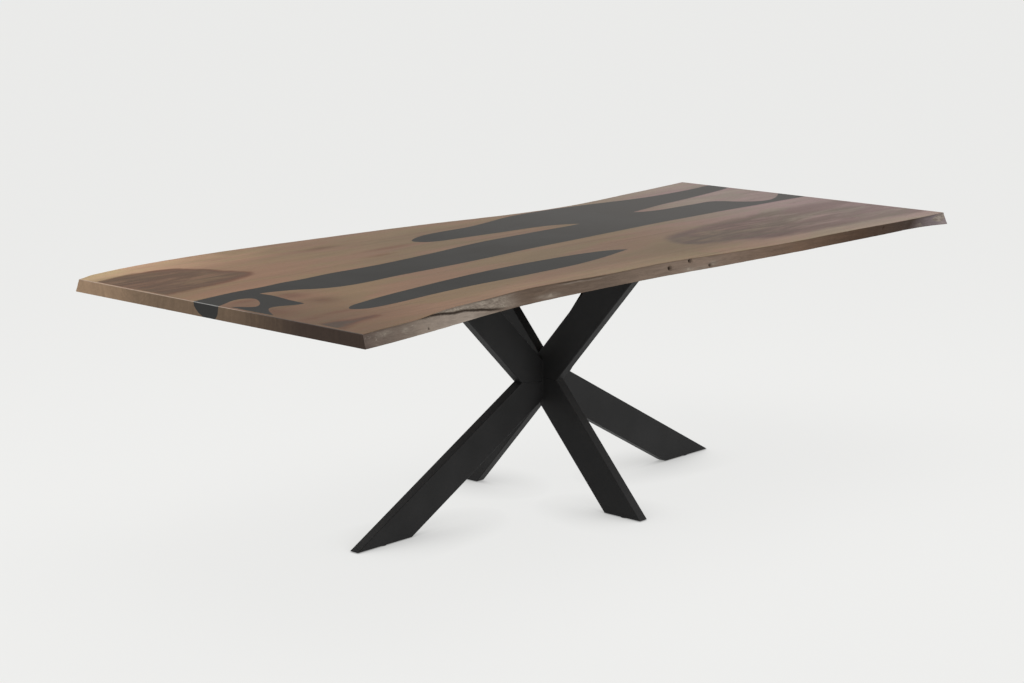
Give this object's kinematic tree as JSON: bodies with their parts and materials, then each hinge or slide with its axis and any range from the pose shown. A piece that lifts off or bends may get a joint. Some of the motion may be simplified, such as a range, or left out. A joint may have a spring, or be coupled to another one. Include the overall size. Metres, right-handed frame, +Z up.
{
  "type": "dining table",
  "caption": "Live-edge walnut dining table with a black resin river, on a crossed base of mitred black steel tubes with levelling glides.",
  "frame": {"origin": "on the floor, in the middle of the base and of the top's box", "axes": "+X along the table, +Y across it towards the back edge, +Z up"},
  "size_m": [2.5, 1.1516, 0.755],
  "materials": {
    "walnut": "satin oiled walnut, live edges",
    "black_resin": "satin-polished black epoxy",
    "black_steel": "matt black powder coat",
    "black_fasteners": "black oxide",
    "zinc_steel": "bright zinc",
    "brass_inserts": "plain brass",
    "glide_plastic": "black nylon"
  },
  "bodies": {
    "table": {"base_bolts": "black_fasteners", "base_washers": "black_fasteners", "channel_screws": "zinc_steel", "foot_plate_back": "black_steel", "foot_plate_front": "black_steel", "foot_plate_left": "black_steel", "foot_plate_right": "black_steel", "head_plate_back": "black_steel", "head_plate_front": "black_steel", "head_plate_left": "black_steel", "head_plate_right": "black_steel", "leg_back": "black_steel", "leg_front": "black_steel", "leg_left": "black_steel", "leg_right": "black_steel", "pool_casting": "black_resin", "river_casting": "black_resin", "stiffening_channel_left": "black_steel", "stiffening_channel_right": "black_steel", "threaded_inserts": "brass_inserts", "upper_arm_back": "black_steel", "upper_arm_front": "black_steel", "upper_arm_left": "black_steel", "upper_arm_right": "black_steel", "walnut_back_board": "walnut", "walnut_end_tongue": "walnut", "walnut_front_board": "walnut", "weld_nuts": "zinc_steel"},
    "glide_right": {"glide_stud_right": "zinc_steel", "glide_pad_right": "glide_plastic"},
    "glide_back": {"glide_stud_back": "zinc_steel", "glide_pad_back": "glide_plastic"},
    "glide_left": {"glide_stud_left": "zinc_steel", "glide_pad_left": "glide_plastic"},
    "glide_front": {"glide_stud_front": "zinc_steel", "glide_pad_front": "glide_plastic"}
  },
  "joints": [
    {"name": "glide_right_screw", "type": "slide", "parent": "table", "child": "glide_right", "axis": [0, 0, -1], "range_m": [0, 0.012]},
    {"name": "glide_back_screw", "type": "slide", "parent": "table", "child": "glide_back", "axis": [0, 0, -1], "range_m": [0, 0.012]},
    {"name": "glide_left_screw", "type": "slide", "parent": "table", "child": "glide_left", "axis": [0, 0, -1], "range_m": [0, 0.012]},
    {"name": "glide_front_screw", "type": "slide", "parent": "table", "child": "glide_front", "axis": [0, 0, -1], "range_m": [0, 0.012]}
  ]
}
